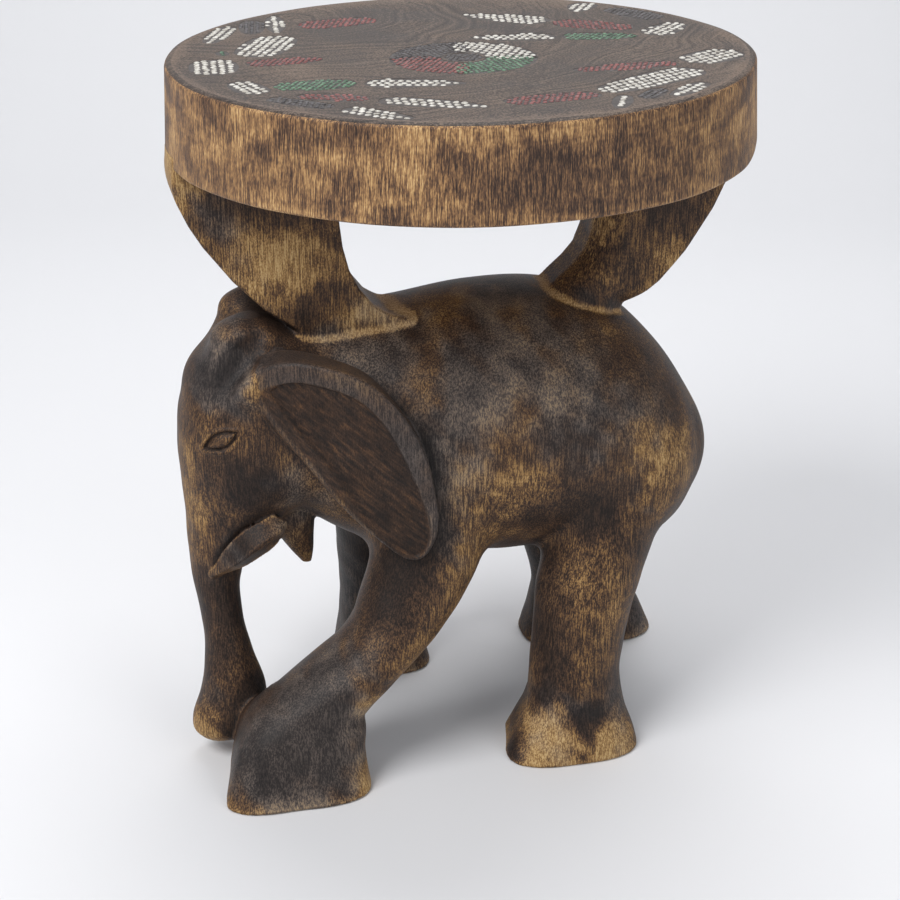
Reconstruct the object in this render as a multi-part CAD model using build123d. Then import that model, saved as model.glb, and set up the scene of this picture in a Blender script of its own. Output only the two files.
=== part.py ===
from build123d import *
import math
import os

# Carved elephant stool. One log carries the whole figure: a round seat, two curved supports
# and a walking elephant. Small beads fill shallow pockets cut in the seat's top.
# Origin: on the floor under the seat's axis. +Z up, the elephant faces -X, its left side is -Y.

# ---------------------------------------------------------------- driving dimensions, mm
overall_height = 350.0      # floor to the seat's flat top
seat_diameter = 270.0
seat_thickness = 45.0
seat_arris = 2.0            # worn edge of the seat's two rims

figure_height = 236.0       # floor to the top of the elephant's back
figure_length = 274.0       # forehead to rump
figure_width = 154.0        # across the feet

support_width = 33.0        # both supports, across the elephant
support_embed = 14.0        # how far a support's foot is buried in the back
support_bow = 1.5           # how far a support's broad faces bulge, each side

pocket_depth = 2.0          # bead pockets in the seat's top
bead_proud = 0.5            # beads stand this far above the wood
bead_clearance = 0.15       # between a field of beads and its pocket's wall
rim_margin = 4.0            # plain wood kept outside the outermost beads

ear_rim = 7.0               # raised border of the ear
ear_dish = 3.0              # depth of the hollow inside that border

# ---------------------------------------------------------------- derived places
seat_radius = seat_diameter / 2
seat_underside = overall_height - seat_thickness

# The figure's sections are drawn for a body 274 long, 154 wide and 236 high.
DRAWN_LENGTH, DRAWN_WIDTH, DRAWN_HEIGHT = 274.0, 154.0, 236.0
SPINE_Y = 6.0               # drawn place of the spine, a little right of the seat's axis
SUPPORT_Y = -1.5            # and of the two supports' middle plane
BODY_CUTS = 18              # flat knife cuts round the barrel and the head
LIMB_CUTS = 14              # and round a leg or the jaw
THIN_CUTS = 8               # and round a tusk or the tail
EAR_CUTS = 26               # and round the edge of an ear


def fx(value):
    """Drawn length along the elephant to real length."""
    return value * figure_length / DRAWN_LENGTH


def fy(value):
    """Drawn width across the elephant to real width."""
    return value * figure_width / DRAWN_WIDTH


def fz(value):
    """Drawn height in the elephant to real height."""
    return value * figure_height / DRAWN_HEIGHT


def dressed_oval(half_width, half_depth, cuts):
    """Oval dressed with a knife: flat cuts all round, with the area of the smooth oval."""
    step = 2 * math.pi / cuts
    swell = math.sqrt(step / math.sin(step))
    corners = [
        (swell * half_width * math.cos((k + 0.5) * step), swell * half_depth * math.sin((k + 0.5) * step))
        for k in range(cuts)
    ]
    return make_face(Polyline(*corners, close=True))


def level_oval(z, x, y, rx, ry, cuts=LIMB_CUTS):
    """Level section of the figure: an oval rx by ry about (x, y) at height z."""
    return Plane(origin=(fx(x), fy(y), fz(z))) * dressed_oval(fx(rx), fy(ry), cuts)


def upright_oval(x, top, bottom, half_width):
    """Section across the figure at x, from bottom to top."""
    middle = (top + bottom) / 2
    across = Plane(origin=(fx(x), fy(SPINE_Y), fz(middle)), x_dir=(0, 1, 0), z_dir=(1, 0, 0))
    return across * dressed_oval(fy(half_width), fz((top - bottom) / 2), BODY_CUTS)


def skin(sections):
    """Solid cut straight from each section to the next."""
    return loft(sections, ruled=True)


# ---------------------------------------------------------------- the elephant
BARREL = [                  # x, top, bottom, half width: neck, chest, belly and rump
    (-98, 218, 141, 30),
    (-66, 228, 115, 45),
    (-30, 231, 101, 57),
    (10, 236, 92, 63),
    (45, 235, 92, 65),
    (68, 228, 93, 64),
    (88, 216, 93, 60),
    (104, 200, 94, 53),
    (118, 181, 106, 40),
    (128, 163, 125, 25),
    (132, 152, 139, 10),
]

HEAD_AND_TRUNK = [          # z, x, y, rx, ry: crown, cheeks, then the trunk down to the floor
    (228, -90, 4, 16, 14),
    (220, -91, 3, 27, 24),
    (210, -94, 1, 35, 31),
    (188, -95, 0, 41, 36),
    (165, -97.5, 0, 41, 36),
    (146, -102, 0, 36, 32),
    (128, -111, -1, 26, 25),
    (112, -120.5, -2, 16, 18),
    (95, -123.5, -4, 12, 14),
    (74, -122, -7, 10.5, 12.5),
    (54, -120, -11, 12, 13),
    (34, -118.5, -14, 17, 15),
    (18, -121.5, -16, 18, 15),
    (8, -124, -16, 14.5, 12),
    (5, -125, -16, 9, 8),
]

LEFT_DOME = [               # z, x, y, rx, ry: the near one of the crown's two domes
    (233, -103, -10, 8, 7),
    (228, -103, -11, 15, 13),
    (218, -102, -12, 20.5, 18),
    (200, -100, -13, 24, 20),
    (175, -99, -13, 22, 18),
]

RIGHT_DOME = [
    (237, -102, 16, 8, 6),
    (232, -102, 17, 15, 12),
    (222, -101, 18, 20, 16),
    (204, -99, 18, 24, 18),
    (175, -98, 18, 22, 16),
]

LOWER_JAW = [               # z, x, y, rx, ry: short pointed lip under the trunk's root
    (138, -85, 0, 14, 16),
    (114, -83, -1, 9.5, 11),
    (103, -79.5, -1, 6, 7),
    (96, -77.5, -1, 3, 4),
]

TUSK = [                    # x, distance from the middle, z, radius
    (-88, 24, 141, 5.5),
    (-104, 28, 137, 6.5),
    (-118, 27, 128, 5.5),
    (-130, 22, 114, 2.5),
]

# Legs: z, x, y, rx, ry. The last section is the sole on the floor.
LEFT_FORELEG = [
    (180, -20, -15, 23, 21),
    (155, -18, -22, 28, 26),
    (127, -20, -30, 29, 27),
    (97, -31, -37, 29, 25),
    (70, -52, -43, 29, 24),
    (54, -70, -46, 32, 23),
    (37, -87, -48, 33, 23),
    (17, -93, -50, 32.5, 24),
    (0, -93, -50, 35.5, 26),
]

RIGHT_FORELEG = [
    (180, -27, 27, 23, 21),
    (155, -26, 35, 29, 26),
    (127, -27, 42, 30, 26),
    (90, -33, 48, 24, 23),
    (50, -31, 55, 22, 21),
    (20, -31, 58, 26, 22),
    (0, -32, 58, 31, 24),
]

LEFT_HINDLEG = [
    (178, 84, -16, 23, 21),
    (155, 82, -24, 29, 26),
    (132, 76, -30, 29, 27),
    (112, 68.5, -34, 27, 26),
    (88, 60, -39, 26.5, 24),
    (62, 55.5, -42, 23.5, 22),
    (36, 52, -45, 23.5, 21),
    (20, 52.5, -46, 27, 23),
    (8, 53, -47, 31, 25),
    (0, 53, -47, 33, 25),
]

RIGHT_HINDLEG = [
    (178, 84, 28, 23, 21),
    (155, 84, 36, 29, 26),
    (132, 80, 41, 29, 27),
    (112, 78, 46, 27, 26),
    (66, 80, 55, 27, 23),
    (36, 88, 61, 27, 21),
    (18, 92, 64, 32, 23),
    (0, 94, 65, 38, 24),
]

TAIL = [                    # x, y, z, radius: against the rump and swung to the right, then the tuft
    (100, 8, 204, 4.5),
    (115, 12, 183, 4.5),
    (128, 17, 154, 4.5),
    (126, 22, 126, 4.0),
    (118, 26, 104, 7.0),
    (110, 29, 86, 2.0),
]


def barrel():
    return skin([upright_oval(*section) for section in BARREL])


def head_and_trunk():
    return skin([level_oval(*section, cuts=BODY_CUTS) for section in HEAD_AND_TRUNK])


def limb(sections):
    """Leg, jaw or dome of the crown as one skin of level sections."""
    return skin([level_oval(*section) for section in sections])


def horn(stations, side):
    """Round tapering member along a curve; side is -1 to mirror it to the figure's left."""
    centres = [Vector(fx(x), side * fy(y), fz(z)) for x, y, z, radius in stations]
    path = Spline(*centres)
    shares = [path.param_at_point(point) for point in centres]
    return skin([
        Plane(origin=path @ share, z_dir=path % share) * dressed_oval(fy(radius), fy(radius), THIN_CUTS)
        for share, (x, y, z, radius) in zip(shares, stations)
    ])


EAR_RIM = [                 # x, z of the leaf-shaped ear: crease at the head, tip low behind
    (-107, 206), (-94, 219), (-70, 217), (-46, 203), (-30, 176),
    (-25, 146), (-34, 121), (-58, 134), (-86, 166),
]
EAR_MIDDLE = (-62.0, 172.0)
EAR_SPAN = 100.0            # drawn length of the ear
EAR_DISH_SHIFT = (-3.5, -5.0)   # the hollow lies low and forward: the rim is widest above and behind
EAR_CREASE = (-107.0, 35.0)     # x and distance from the middle where the flap leaves the head
EAR_TIP = (-25.0, 66.0)         # and where it ends over the shoulder
EAR_ROOT = 26.0             # how far the flap reaches back into the neck


def ear_outline(size=1.0, shift=(0.0, 0.0)):
    """Ear in its own plane, at a share of its size and shifted."""
    cx, cz = EAR_MIDDLE
    leaf = Spline(*[
        (fx(cx + (x - cx) * size + shift[0]), fz(cz + (z - cz) * size + shift[1])) for x, z in EAR_RIM
    ], periodic=True)
    return make_face(Polyline(*[leaf @ (cut / EAR_CUTS) for cut in range(EAR_CUTS)], close=True))


def ear(side):
    """Ear flap in relief on the shoulder, dished inside its border; side is -1 for the left."""
    crease_x, crease_y = fx(EAR_CREASE[0]), fy(EAR_CREASE[1])
    tip_x, tip_y = fx(EAR_TIP[0]), fy(EAR_TIP[1])
    slope = (tip_y - crease_y) / (tip_x - crease_x)
    flap_plane = Plane(origin=(crease_x, side * crease_y, 0), x_dir=(1, side * slope, 0),
                       z_dir=(side * slope, -1, 0)) * Location((-crease_x, 0, 0))
    root = fy(EAR_ROOT) * math.hypot(1, slope)
    flap = extrude(flap_plane * ear_outline(), side * root)
    hollow = flap_plane * ear_outline(1 - 2 * ear_rim / EAR_SPAN, EAR_DISH_SHIFT)
    return flap - extrude(hollow, ear_dish, both=True)


# ---------------------------------------------------------------- supports and seat
def log(radius=seat_radius, height=overall_height):
    """The round log that everything is cut from."""
    return Pos(0, 0, height / 2) * Cylinder(radius, height)


OVERLAP = 4.0               # how far a support runs up into the seat, and out past the log's face
OUTER_LEAVES = 0.12         # share of the support's height where its outer edge leaves the log
OUTER_HOLLOW = (0.32, 0.55)     # its hollow: share of the way in to the root, share of the way down
INNER_WAIST = 0.55          # share of the way down where the inner edge is furthest out

# Side by side: x of the root's outer and inner end, of the inner edge at its waist and under
# the seat, then the back's height under the root's outer and inner end.
SUPPORTS = {-1: (82, 27, 56, 60, 223, 227), 1: (82, 45, 64, 67, 223, 235)}


def support(side):
    """Curved bracket from the elephant's back to the seat, flush with the log at its top.

    side is -1 over the neck and 1 over the rump.
    """
    root_out, root_in, waist, crown_in, back_out, back_in = SUPPORTS[side]
    root_out, root_in, back_out, back_in = fx(root_out), fx(root_in), fz(back_out), fz(back_in)
    top = seat_underside + OVERLAP
    edge = seat_radius + OVERLAP
    share_in, share_down = OUTER_HOLLOW
    outer_height, inner_height = seat_underside - back_out, seat_underside - back_in
    outer = Spline(
        (edge, seat_underside - OUTER_LEAVES * outer_height),
        (seat_radius - share_in * (seat_radius - root_out), seat_underside - share_down * outer_height),
        (root_out, back_out),
    )
    inner = Spline((crown_in, top), (waist, seat_underside - INNER_WAIST * inner_height), (root_in, back_in))
    buried_out = (root_out + support_embed / 2, back_out - support_embed)
    buried_in = (root_in, back_in - support_embed)
    profile = make_face([
        Line((edge, top), outer @ 0), outer, Line(outer @ 1, buried_out), Line(buried_out, buried_in),
        Line(buried_in, inner @ 1), inner, Line(inner @ 0, (edge, top)),
    ])
    spine = fy(SUPPORT_Y)
    half = support_width / 2
    plank = extrude(Plane.XZ.offset(-spine) * profile, half + support_bow, both=True)
    if side < 0:
        plank = mirror(plank, Plane.YZ)
    low, high = buried_out[1] - support_embed, top + OVERLAP
    middle = (low + high) / 2
    bulge = half + support_bow
    cheeks = make_face([
        ThreePointArc((spine - half, low), (spine - bulge, middle), (spine - half, high)),
        Line((spine - half, high), (spine + half, high)),
        ThreePointArc((spine + half, high), (spine + bulge, middle), (spine + half, low)),
        Line((spine + half, low), (spine - half, low)),
    ])
    return plank & extrude(Plane.YZ * cheeks, seat_diameter, both=True) & log()


def seat_blank():
    """Round seat with a worn rim above and below."""
    seat = Pos(0, 0, overall_height - seat_thickness / 2) * Cylinder(seat_radius, seat_thickness)
    return chamfer(seat.edges().filter_by(GeomType.CIRCLE), seat_arris)


# ---------------------------------------------------------------- bead fields in the seat
# Each field is a drop: a round tail and a round head with straight flanks between them.
# Places are drawn for a pattern of 131 mm radius: x, y and radius of the tail, then of the head.
DRAWN_PATTERN = 131.0
pattern_scale = (seat_radius - rim_margin) / DRAWN_PATTERN
CUT_SHARE = 1.1             # larger: fewer, longer cuts round a field's ends

DROPS = {
    "white_1": (-114, 3, 11, -115, -8, 11),
    "white_2": (-109, 52, 4, -97, 82, 5),
    "white_3": (-75, 66, 2.5, -71, 102, 3.5),
    "white_4": (-90, 24, 12, -80, 46, 12),
    "white_5": (-107, -40, 7, -104, -52, 8),
    "white_6": (-47, -54, 9, -15, -63, 2.5),
    "white_7": (-49, -87, 8, -17, -106, 3),
    "white_8": (-69, -98, 6, -52, -116, 4),
    "white_9": (87, 88, 8, 80, 76, 4),
    "white_10": (50, 60, 11, 24, 81, 3),
    "white_11": (43, 20, 9, 15, 26, 3.5),
    "white_12": (102, 15, 9, 114, 28, 7),
    "white_13": (102, -46, 11.5, 112, -40, 11.5),
    "white_14": (45, -91, 8, 83, -70, 10.5),
    "white_15": (67, -108, 4, 83, -93, 4.5),
    "white_16": (37, -122, 3, 44, -106, 4),
    "red_1": (-52, 78, 11, -31, 81, 9),
    "red_2": (-92, 0, 8, -70, 1, 6),
    "red_3": (-84, -69, 4.5, -65, -78, 6.5),
    "red_4": (68, 46, 10, 87, 31, 8),
    "red_5": (42, -53, 4, 82, -52, 6),
    "red_6": (0, -101, 7, 30, -99, 6.5),
    "green_1": (-107, 22, 3, -107, 28, 3),
    "green_2": (-86, -49, 9, -68, -50, 9.5),
    "green_3": (63, 15, 9, 84, 10, 6),
    "black_1": (-87, 68, 4.8, -83.5, 91, 6.3),
    "black_2": (-97, -71, 4.5, -80, -88, 5),
    "black_3": (109, 52, 9, 100, 70, 8),
    "black_4": (54, -108, 5, 62.5, -98.5, 3.8),
}

ROSETTE_CENTRE = (-2.0, -14.0)
ROSETTE_RADIUS = 34.0
ROSETTE_HUB = 10.0
ROSETTE_GAP = 1.0           # plain wood between two petals
ROSETTE_PETALS = {"rosette_black": 80.0, "rosette_red": 170.0, "rosette_green": 255.0, "rosette_white": 345.0}


def cuts_round(radius, turn):
    """How many straight cuts make a round end of this radius through this turn in radians."""
    return max(3, math.ceil(turn * math.sqrt(radius) / CUT_SHARE))


def knife_arc(centre, radius, start, stop, cuts):
    """Round end as straight cuts: points from one bearing to the other, in radians."""
    bearings = [start + (stop - start) * k / cuts for k in range(cuts + 1)]
    return [(centre[0] + radius * math.cos(b), centre[1] + radius * math.sin(b)) for b in bearings]


def drop_outline(tail_x, tail_y, tail_radius, head_x, head_y, head_radius, grow=0.0):
    """Outline of one drop, grown by a clearance."""
    scale = pattern_scale
    tail = (tail_x * scale, tail_y * scale)
    head = (head_x * scale, head_y * scale)
    r1, r2 = tail_radius * scale, head_radius * scale
    heading = math.atan2(head[1] - tail[1], head[0] - tail[0])
    flank = math.acos((r1 - r2) / math.dist(head, tail))
    back = 2 * math.pi - flank
    tail_end = knife_arc(tail, r1 + grow, heading + flank, heading + back, cuts_round(r1, back - flank))
    head_end = knife_arc(head, r2 + grow, heading - flank, heading + flank, cuts_round(r2, 2 * flank))
    return make_face(Polyline(*tail_end, *head_end, close=True))


def petal_outline(start, stop, grow=0.0):
    """One petal of the round centre motif: a ring sector between two bearings in degrees."""
    scale = pattern_scale
    cx, cy = (value * scale for value in ROSETTE_CENTRE)
    inner, outer = ROSETTE_HUB * scale - grow, ROSETTE_RADIUS * scale + grow
    half_gap = ROSETTE_GAP * scale / 2 - grow
    start, stop = math.radians(start), math.radians(stop)
    inner_cuts, outer_cuts = (cuts_round(r * scale, stop - start) for r in (ROSETTE_HUB, ROSETTE_RADIUS))
    far_side = knife_arc((cx, cy), outer, start + half_gap / outer, stop - half_gap / outer, outer_cuts)
    near_side = knife_arc((cx, cy), inner, stop - half_gap / inner, start + half_gap / inner, inner_cuts)
    return make_face(Polyline(*far_side, *near_side, close=True))


def hub_outline(grow=0.0):
    """Round black middle of the centre motif."""
    scale = pattern_scale
    centre = [value * scale for value in ROSETTE_CENTRE]
    radius = (ROSETTE_HUB - ROSETTE_GAP) * scale
    ring = knife_arc(centre, radius + grow, 0, 2 * math.pi, cuts_round(radius, 2 * math.pi))
    return make_face(Polyline(*ring[:-1], close=True))


def outlines(grow):
    """Every field's outline by name; grow is 0 for the pocket and negative for the beads."""
    shapes = {f"beads_{name}": drop_outline(*drop, grow=grow) for name, drop in DROPS.items()}
    names = list(ROSETTE_PETALS)
    bearings = list(ROSETTE_PETALS.values())
    for index, name in enumerate(names):
        stop = bearings[(index + 1) % len(names)]
        start = bearings[index]
        shapes[f"beads_{name}"] = petal_outline(start, stop if stop > start else stop + 360, grow)
    shapes["beads_rosette_hub"] = hub_outline(grow)
    return shapes


def carved_stool():
    """Everything that is cut from the one log."""
    elephant = barrel()
    for member in [
        head_and_trunk(), limb(LEFT_DOME), limb(RIGHT_DOME), limb(LOWER_JAW), horn(TUSK, -1), horn(TUSK, 1),
        limb(LEFT_FORELEG), limb(RIGHT_FORELEG), limb(LEFT_HINDLEG), limb(RIGHT_HINDLEG),
        ear(-1), ear(1), horn(TAIL, 1),
    ]:
        elephant += member
    pockets = [
        extrude(Plane((0, 0, overall_height)) * outline, -pocket_depth)
        for outline in outlines(0.0).values()
    ]
    return elephant + support(-1) + support(1) + (seat_blank() - pockets)


def bead_fields():
    """One closed body of beads for each pocket."""
    floor = Plane((0, 0, overall_height - pocket_depth))
    return {
        name: extrude(floor * outline, pocket_depth + bead_proud)
        for name, outline in outlines(-bead_clearance).items()
    }


def export_all():
    os.makedirs("parts", exist_ok=True)
    pieces = {"carved_stool": carved_stool()}
    pieces.update(bead_fields())
    for name, piece in pieces.items():
        solids = piece.solids()
        shape = solids[0] if len(solids) == 1 else Compound(children=solids)
        export_step(shape, f"parts/{name}.step")
        print(name, len(solids), "solid(s)", round(piece.volume), "mm3")


export_all()
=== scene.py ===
import math

import bpy
import numpy as np
from mathutils import Matrix, Vector
from mathutils.geometry import delaunay_2d_cdt


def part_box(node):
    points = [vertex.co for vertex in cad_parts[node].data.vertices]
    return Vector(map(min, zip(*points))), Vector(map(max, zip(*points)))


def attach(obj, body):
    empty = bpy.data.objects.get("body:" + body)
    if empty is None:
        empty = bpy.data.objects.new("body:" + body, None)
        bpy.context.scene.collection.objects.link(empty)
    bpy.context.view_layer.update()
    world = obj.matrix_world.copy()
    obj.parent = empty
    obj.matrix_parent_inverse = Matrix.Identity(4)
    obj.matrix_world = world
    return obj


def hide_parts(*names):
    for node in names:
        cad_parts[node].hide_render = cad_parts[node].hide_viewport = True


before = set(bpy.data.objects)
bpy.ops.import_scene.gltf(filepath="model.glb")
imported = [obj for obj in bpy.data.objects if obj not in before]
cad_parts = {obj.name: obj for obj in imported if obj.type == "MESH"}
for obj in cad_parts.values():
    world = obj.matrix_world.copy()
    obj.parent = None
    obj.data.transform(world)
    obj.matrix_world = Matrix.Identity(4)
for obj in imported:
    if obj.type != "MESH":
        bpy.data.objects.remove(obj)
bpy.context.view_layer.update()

# Carved elephant stool. Lengths are millimetres up to the meshes, which are metres.
# -X is the way the elephant faces, -Y its left side, +Z up; the floor is at 0.
MM = 0.001
_, wood_high = (corner * 1000 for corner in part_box("carved_stool"))
SEAT_TOP = wood_high.z
SEAT_RADIUS = wood_high.y
SEAT_THICKNESS = 42.4
SEAT_UNDERSIDE = SEAT_TOP - SEAT_THICKNESS
SPINE_Y = 6.0
SUPPORT_Y = -1.5
CARVE_LOW, CARVE_HIGH = (-146.0, -86.0, -3.0), (144.0, 98.0, 317.0)     # box round the figure
CARVE_STEP, QUICK_STEP = 1.4, 2.4


def log_radius(z):
    """The log swells a little towards the seat's underside."""
    return SEAT_RADIUS + 1.0 + 0.055 * (SEAT_TOP - z)


# ---- camera
VIEW_TURN = math.radians(-14.0)         # the camera looks along +Y turned by this about Z
VIEW_PITCH = math.radians(23.95)        # and down by this
VIEW_ROLL = math.radians(0.47)
VIEW_ASIDE, VIEW_BACK, VIEW_UP = -2.5, 877.1, 537.7
FOCAL_PIXELS, FRAME_PIXELS = 1900.0, 900.0

aside = Vector((math.cos(VIEW_TURN), math.sin(VIEW_TURN), 0))
away = Vector((-math.sin(VIEW_TURN), math.cos(VIEW_TURN), 0))


def add_camera():
    data = bpy.data.cameras.new("camera")
    data.sensor_width = 36.0
    data.lens = FOCAL_PIXELS / FRAME_PIXELS * data.sensor_width
    data.clip_start, data.clip_end = 0.05, 30.0
    camera = bpy.data.objects.new("camera", data)
    forward = away * math.cos(VIEW_PITCH) - Vector((0, 0, 1)) * math.sin(VIEW_PITCH)
    upright = aside.cross(forward)
    right = aside * math.cos(VIEW_ROLL) + upright * math.sin(VIEW_ROLL)
    up = upright * math.cos(VIEW_ROLL) - aside * math.sin(VIEW_ROLL)
    turn = Matrix((right, up, -forward)).transposed().to_4x4()
    place = aside * VIEW_ASIDE - away * VIEW_BACK + Vector((0, 0, VIEW_UP))
    camera.matrix_world = Matrix.Translation(place * MM) @ turn
    bpy.context.scene.collection.objects.link(camera)
    bpy.context.scene.camera = camera


# ---- forms as signed distances
FAR = 16.0      # a form further off than this counts as this far


def curve_through(knots, values, places):
    """Smooth curve through the values at the knots, read at the places."""
    slopes = np.gradient(values, knots)
    index = np.clip(np.searchsorted(knots, places) - 1, 0, len(knots) - 2)
    span = knots[index + 1] - knots[index]
    t = (places - knots[index]) / span
    return (
        values[index] * (1 + 2 * t) * (1 - t) ** 2 + slopes[index] * span * t * (1 - t) ** 2
        + values[index + 1] * t * t * (3 - 2 * t) - slopes[index + 1] * span * t * t * (1 - t)
    )


class Form:
    """A solid as a distance in millimetres, negative inside, worked out only near its box."""

    def __init__(self, distance, low, high):
        self.distance, self.low, self.high = distance, np.array(low), np.array(high)

    def __call__(self, points):
        near = np.all((points > self.low[:, None] - FAR) & (points < self.high[:, None] + FAR), axis=0)
        found = np.full(points.shape[1], FAR)
        if near.any():
            found[near] = self.distance(points[:, near])
        return found


def joined(a, b, blend):
    """Union of two distances with a fillet."""
    share = np.clip(0.5 + 0.5 * (b - a) / blend, 0, 1)
    return b + (a - b) * share - blend * share * (1 - share)


def cut(a, b, blend):
    """a less b with a rounded edge."""
    return -joined(-a, b, blend)


def common(a, b, rounding):
    """What two distances have in common, its edge rounded to a radius."""
    a, b = a + rounding, b + rounding
    return np.hypot(np.maximum(a, 0), np.maximum(b, 0)) + np.minimum(np.maximum(a, b), 0) - rounding


def pared(form, place, outward, rounding, reach=60):
    """The form pared flat, up to the reach, by a plane through a place, with its outward direction."""

    def distance(points):
        plane = sum(o * (p - at) for o, p, at in zip(outward, points, place))
        return common(form(points), plane - 0.4 * np.maximum(points[2] - reach, 0), rounding)

    return Form(distance, form.low, form.high)


def skin(stations, axis=2):
    """Smooth skin over oval sections.

    A station is a place along the axis, the section's middle on the two other axes in
    order, and its two half sizes; a sixth value above 2 squares the oval up.
    """
    table = np.array(sorted((*s, 2.0)[:6] for s in stations), float)
    places = np.arange(table[0, 0], table[-1, 0] + 0.5, 0.5).clip(max=table[-1, 0])
    tracks = [curve_through(table[:, 0], column, places) for column in table[:, 1:].T]
    across = [other for other in range(3) if other != axis]

    def distance(points):
        along = np.clip(points[axis], places[0], places[-1])
        middle_1, middle_2, half_1, half_2, power = (np.interp(along, places, track) for track in tracks)
        u = np.abs(points[across[0]] - middle_1) / half_1
        v = np.abs(points[across[1]] - middle_2) / half_2
        total = u ** power + v ** power + 1e-9
        ring = total ** (1 / power)
        slope = np.hypot(u ** (power - 1) / half_1, v ** (power - 1) / half_2) * total ** (1 / power - 1)
        side = (ring - 1) / np.maximum(slope, 1 / (2 * np.maximum(half_1, half_2)))
        end = np.abs(points[axis] - along)
        return np.where(end > 0, np.hypot(np.maximum(side, 0), end), side)

    low, high = np.zeros(3), np.zeros(3)
    low[axis], high[axis] = places[0], places[-1]
    for other, middle, half in zip(across, tracks[:2], tracks[2:4]):
        low[other], high[other] = (middle - half).min(), (middle + half).max()
    return Form(distance, low, high)


def cord(stations):
    """Round member along a curve of (x, y, z, radius)."""
    knots = np.arange(len(stations), dtype=float)
    fine = np.linspace(0, knots[-1], 6 * len(stations))
    x, y, z, radius = (curve_through(knots, column, fine) for column in np.array(stations, float).T)
    line = np.array([x, y, z])

    def distance(points):
        best = np.full(points.shape[1], FAR * 4)
        for k in range(len(fine) - 1):
            start, run = line[:, k], line[:, k + 1] - line[:, k]
            reach = points - start[:, None]
            t = np.clip(run @ reach / (run @ run), 0, 1)
            off = np.linalg.norm(reach - run[:, None] * t, axis=0)
            best = np.minimum(best, off - radius[k] - (radius[k + 1] - radius[k]) * t)
        return best

    return Form(distance, (line - radius).min(axis=1), (line + radius).max(axis=1))


def blob(middle, halves):
    """Ellipsoid."""
    middle, halves = np.array(middle, float), np.array(halves, float)

    def distance(points):
        local = (points - middle[:, None]) / halves[:, None]
        ring = np.linalg.norm(local, axis=0) + 1e-6
        return ring * (ring - 1) / (np.linalg.norm(local / halves[:, None], axis=0) + 1e-9)

    return Form(distance, middle - max(halves), middle + max(halves))


class Outline:
    """Closed outline in a plane, as a signed distance on a fine grid."""

    def __init__(self, corners, smooth=False, pitch=0.5, margin=24.0):
        corners = np.array(corners, float)
        if smooth:
            count = len(corners)
            wrapped = np.vstack([corners[-2:], corners, corners[:3]])
            knots = np.arange(-2, count + 3, dtype=float)
            fine = np.arange(0, count, 0.125)
            corners = np.array([curve_through(knots, column, fine) for column in wrapped.T]).T
        self.pitch, self.margin = pitch, margin
        self.low = corners.min(axis=0) - margin
        self.high = corners.max(axis=0) + margin
        a, b = np.meshgrid(*(np.arange(low, high + pitch, pitch) for low, high in zip(self.low, self.high)),
                           indexing="ij")
        best = np.full(a.shape, 1e9)
        inside = np.zeros(a.shape, bool)
        for (a1, b1), (a2, b2) in zip(corners, np.roll(corners, -1, axis=0)):
            run_a, run_b = a2 - a1, b2 - b1
            t = np.clip(((a - a1) * run_a + (b - b1) * run_b) / (run_a ** 2 + run_b ** 2), 0, 1)
            best = np.minimum(best, (a - a1 - run_a * t) ** 2 + (b - b1 - run_b * t) ** 2)
            crossing = (b1 > b) != (b2 > b)
            inside ^= crossing & (a < a1 + run_a * (b - b1) / (run_b if run_b else 1e-9))
        self.grid = np.where(inside, -1, 1) * np.sqrt(best)

    def __call__(self, a, b):
        places = [(value - low) / self.pitch for value, low in zip((a, b), self.low)]
        i, j = (np.clip(place, 0, size - 1.001) for place, size in zip(places, self.grid.shape))
        i0, j0 = i.astype(int), j.astype(int)
        before, after = (self.grid[i0 + k, j0] * (1 - j + j0) + self.grid[i0 + k, j0 + 1] * (j - j0)
                         for k in (0, 1))
        return before * (1 - i + i0) + after * (i - i0)


def smooth_step(low, high, value):
    t = np.clip((value - low) / (high - low), 0, 1)
    return t * t * (3 - 2 * t)


# ---- the elephant's parts
barrel = skin([             # x, then y, z, half width, half height
    (-100, SPINE_Y, 181, 28, 38), (-84, SPINE_Y, 176.5, 38, 47.5), (-66, SPINE_Y, 171, 46, 55.5),
    (-30, SPINE_Y, 165, 57, 64), (10, SPINE_Y, 164.5, 63, 69.5), (45, SPINE_Y, 164, 65, 69),
    (68, SPINE_Y, 161, 64, 66.5), (88, SPINE_Y, 155.5, 60, 60.5), (103, SPINE_Y, 148.5, 53, 52),
    (116.5, SPINE_Y, 146, 40, 36), (126.5, SPINE_Y, 146.5, 25, 18), (131.5, SPINE_Y, 147, 9, 7),
], axis=0)

head = skin([               # z, then x, y, half length, half width
    (228, -91, 3, 12, 9), (220, -92, 3, 25, 22), (210, -94, 2, 34.5, 30),
    (188, -95, 1, 41, 35, 2.2), (165, -97.5, 0, 41, 34, 2.3), (146, -102, 0, 36, 31, 2.2),
    (128, -111, -1, 26, 24), (112, -120.5, -2, 16, 18), (95, -123.5, -4, 12, 14),
    (74, -122, -7, 10.5, 12.5), (54, -120, -11, 12, 13), (34, -118.5, -14, 16.5, 15),
    (20, -121.5, -16, 18.2, 15), (13.5, -123, -16, 16, 13.5), (10, -124, -16, 12, 10),
])
domes = [                   # the crown's two domes, left and right
    skin([(232.5, -104, -11, 6, 5), (229, -104, -11, 13, 11), (218, -103, -11, 20, 16),
          (203, -101, -11, 22, 18), (185, -100, -11, 18, 15)]),
    skin([(236.5, -97, 19, 6, 4), (232.5, -97, 19, 13, 10), (222, -96, 19, 19, 15),
          (205, -95, 19, 22, 17), (187, -95, 19, 18, 14)]),
]

jaw = skin([
    (138, -85, 0, 14, 16, 2.4), (114, -83, -1, 9.5, 11, 2.6), (103, -79.5, -1, 6, 7, 2.6),
    (96, -77.5, -1, 3, 4, 2.4),
])

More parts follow.
